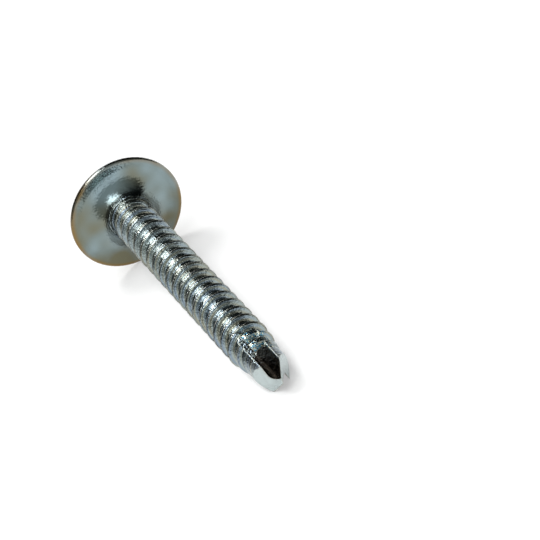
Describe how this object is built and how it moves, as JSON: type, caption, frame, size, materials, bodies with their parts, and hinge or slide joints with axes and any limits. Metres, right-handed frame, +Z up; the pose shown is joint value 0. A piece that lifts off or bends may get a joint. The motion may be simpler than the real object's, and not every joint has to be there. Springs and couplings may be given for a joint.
{
  "type": "self drilling screw",
  "caption": "Self drilling screw: round flanged head with a cross recess, full right-hand self-tapping thread and a fluted drill point, zinc plated steel, lying on its side.",
  "frame": {"origin": "centre of the base of the bounding box, on the surface the screw lies on", "axes": "+X along the length of the lying screw, from head to point; +Z up from the surface"},
  "size_m": [0.0342, 0.011, 0.0109],
  "materials": {
    "zinc_plated_steel": "bright zinc plating with a thin clear passivation, over rolled and forged steel"
  },
  "bodies": {
    "root": {"screw": "zinc_plated_steel"}
  },
  "joints": []
}
